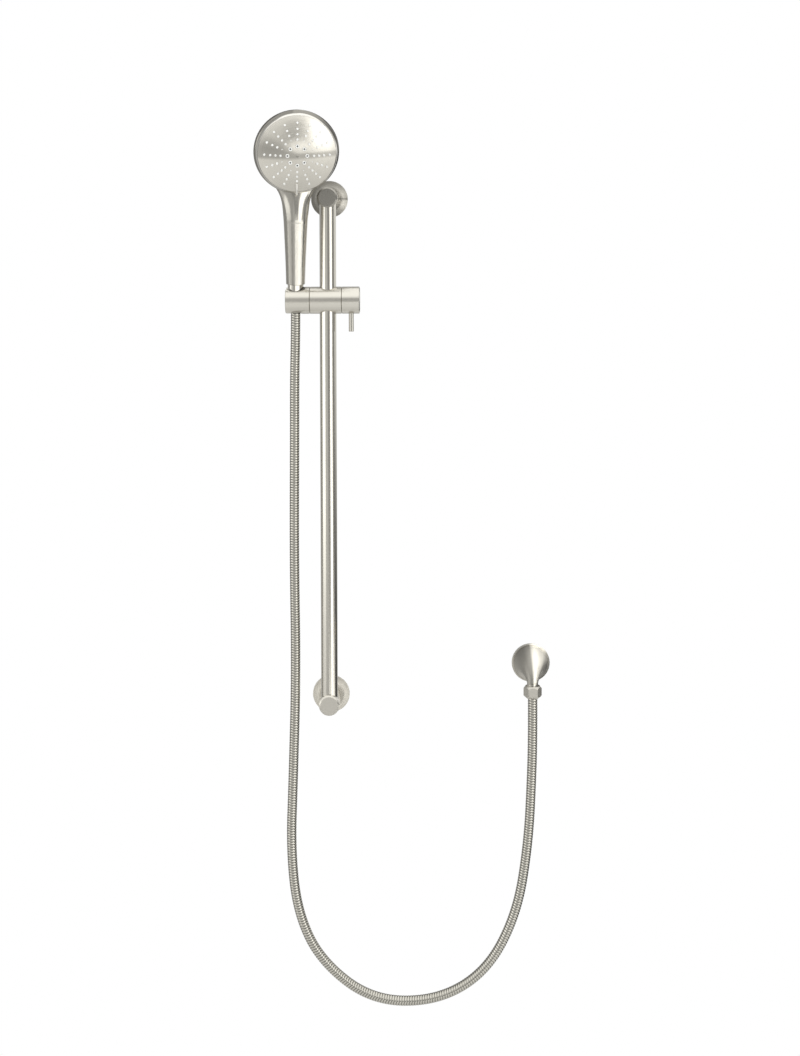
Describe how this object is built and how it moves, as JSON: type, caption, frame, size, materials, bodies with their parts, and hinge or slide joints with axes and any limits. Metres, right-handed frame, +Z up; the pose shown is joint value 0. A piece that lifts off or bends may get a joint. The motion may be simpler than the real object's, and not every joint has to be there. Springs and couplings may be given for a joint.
{
  "type": "hand shower rail set",
  "caption": "Round multi-spray hand shower in a tilting slider on a vertical wall rail, with a metal hose looping to a wall outlet elbow.",
  "frame": {"origin": "on the wall, midway between the two rail brackets", "axes": "+X right, +Z up, +Y into the wall; the set stands out from the wall towards -Y"},
  "size_m": [0.4432, 0.183, 1.3504],
  "materials": {
    "rail_metal": "satin warm nickel",
    "nickel_satin": "brushed warm nickel plating",
    "nickel_polished": "polished nickel plating",
    "nickel_zinc": "brushed warm nickel plating",
    "handset_plated": "brushed nickel plating on moulded plastic",
    "face_plated": "circular brushed nickel plating",
    "bezel_plated": "bright nickel plating",
    "nozzle_silicone": "white silicone",
    "jet_plastic": "dark grey",
    "inner_plastic": "natural white",
    "guide_plastic": "dark grey acetal",
    "seal_rubber": "black",
    "raw_brass": "turned",
    "fixing_steel": "plain",
    "hose_metal": "spiral wound, satin",
    "hose_liner": "grey"
  },
  "bodies": {
    "root": {"rail_tube": "rail_metal", "rail_end_plugs": "guide_plastic", "upper_post": "nickel_satin", "upper_flange": "nickel_satin", "upper_cap": "nickel_satin", "upper_wall_plate": "raw_brass", "lower_post": "nickel_satin", "lower_flange": "nickel_satin", "lower_cap": "nickel_satin", "lower_wall_plate": "raw_brass", "wall_screws": "fixing_steel", "grub_screws": "fixing_steel", "elbow_flange": "nickel_satin", "elbow_body": "nickel_satin", "inlet_nipple": "raw_brass", "elbow_o_ring": "seal_rubber", "check_valve": "inner_plastic", "hex_nut": "nickel_satin", "nut_washer": "seal_rubber", "lower_ferrule": "nickel_polished", "hose_conduit": "hose_metal", "hose_liner": "hose_liner"},
    "carriage": {"rail_bush": "guide_plastic"},
    "slider_body": {"slider_housing": "nickel_zinc", "tilt_screw": "fixing_steel", "friction_washer": "guide_plastic"},
    "locking_knob": {"lock_knob": "nickel_zinc", "knob_cap": "nickel_zinc", "lever_pin": "nickel_satin", "clamp_screw": "raw_brass"},
    "brake": {"brake_pad": "guide_plastic"},
    "holder": {"holder_shell": "nickel_zinc", "cone_sleeve": "guide_plastic"},
    "hose_end": {"hose_core": "raw_brass"},
    "handset": {"handset_shell": "handset_plated", "inlet_insert": "raw_brass", "flow_restrictor": "inner_plastic", "filter_washer": "seal_rubber", "cone_nut": "nickel_polished", "waterway_tube": "inner_plastic", "manifold": "inner_plastic", "manifold_seal": "seal_rubber", "pivot_screw": "fixing_steel", "detent_spring": "fixing_steel", "detent_plunger": "inner_plastic"},
    "spray_face": {"face_plate": "face_plated", "nozzle_mat": "nozzle_silicone", "massage_jets": "jet_plastic", "mist_jets": "nozzle_silicone", "bezel_ring": "bezel_plated", "spray_chamber": "inner_plastic", "diverter_disc": "inner_plastic", "selector_tab": "bezel_plated"}
  },
  "joints": [
    {"name": "rail_slide", "type": "slide", "parent": "root", "child": "carriage", "axis": [0, 0, 1], "range_m": [-0.57, 0.116], "deforming": ["hose_conduit", "hose_liner"]},
    {"name": "slider_swivel", "type": "hinge", "parent": "carriage", "child": "slider_body", "pos_m": [0, -0.058, 0.2265], "axis": [0, 0, 1], "range_deg": [-30, 30], "deforming": ["hose_conduit", "hose_liner"]},
    {"name": "knob_turn", "type": "hinge", "parent": "slider_body", "child": "locking_knob", "pos_m": [0.0211, -0.058, 0.2265], "axis": [1, 0, 0], "range_deg": [-90, 0]},
    {"name": "brake_slide", "type": "slide", "parent": "slider_body", "child": "brake", "axis": [1, 0, 0], "range_m": [-0.0001, 0.0004]},
    {"name": "holder_tilt", "type": "hinge", "parent": "slider_body", "child": "holder", "pos_m": [-0.0488, -0.058, 0.2265], "axis": [1, 0, 0], "range_deg": [-4, 42], "deforming": ["hose_conduit", "hose_liner"]},
    {"name": "lift_out", "type": "slide", "parent": "holder", "child": "hose_end", "axis": [0.014, -0.1392, 0.9902], "range_m": [0, 0.04], "deforming": ["hose_conduit", "hose_liner"]},
    {"name": "handset_swivel", "type": "hinge", "parent": "hose_end", "child": "handset", "pos_m": [-0.0488, -0.058, 0.2265], "axis": [0.014, -0.1392, 0.9902], "range_deg": [-30, 17]},
    {"name": "spray_select", "type": "hinge", "parent": "handset", "child": "spray_face", "pos_m": [-0.04346, -0.10707, 0.44727], "axis": [0.1176, -0.9436, -0.3096], "range_deg": [-45, 45]}
  ],
  "couplings": [
    {"joint": "brake_slide", "follows": "knob_turn", "m_per_rad": -0.00019}
  ]
}
